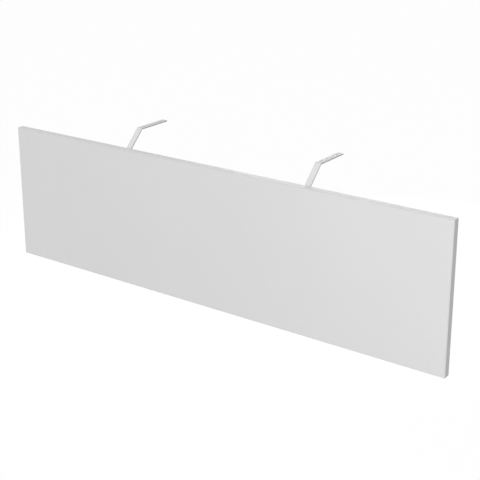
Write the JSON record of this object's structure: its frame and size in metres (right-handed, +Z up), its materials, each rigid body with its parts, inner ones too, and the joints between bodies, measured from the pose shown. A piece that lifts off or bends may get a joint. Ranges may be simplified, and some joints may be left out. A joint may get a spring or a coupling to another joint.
{
  "type": "desk modesty panel",
  "caption": "Flat rectangular modesty panel with banded edges, hung below a desk top by bent flat-bar brackets on its back.",
  "frame": {"origin": "in the plane of the desk's underside, which is the top of both bracket flanges, in the middle of the four desk-screw holes", "axes": "+X along the panel to the right as seen from its front, +Y from the panel back under the desk, +Z up"},
  "size_m": [1.2, 0.162, 0.378],
  "materials": {
    "grey_melamine_board": "chipboard faced with light grey melamine, fine matt grain",
    "grey_edge_band": "light grey plastic edge band, satin, rounded arris",
    "grey_powder_coat": "light grey powder coat, satin with fine orange peel",
    "zinc_plated_steel": "bright zinc plate",
    "brass_insert": "turned brass"
  },
  "bodies": {
    "root": {"panel_board": "grey_melamine_board", "top_edge_band": "grey_edge_band", "bottom_edge_band": "grey_edge_band", "left_edge_band": "grey_edge_band", "right_edge_band": "grey_edge_band", "left_bracket": "grey_powder_coat", "right_bracket": "grey_powder_coat", "left_upper_screw": "zinc_plated_steel", "left_upper_insert": "brass_insert", "left_lower_screw": "zinc_plated_steel", "left_lower_insert": "brass_insert", "right_upper_screw": "zinc_plated_steel", "right_upper_insert": "brass_insert", "right_lower_screw": "zinc_plated_steel", "right_lower_insert": "brass_insert"}
  },
  "joints": []
}
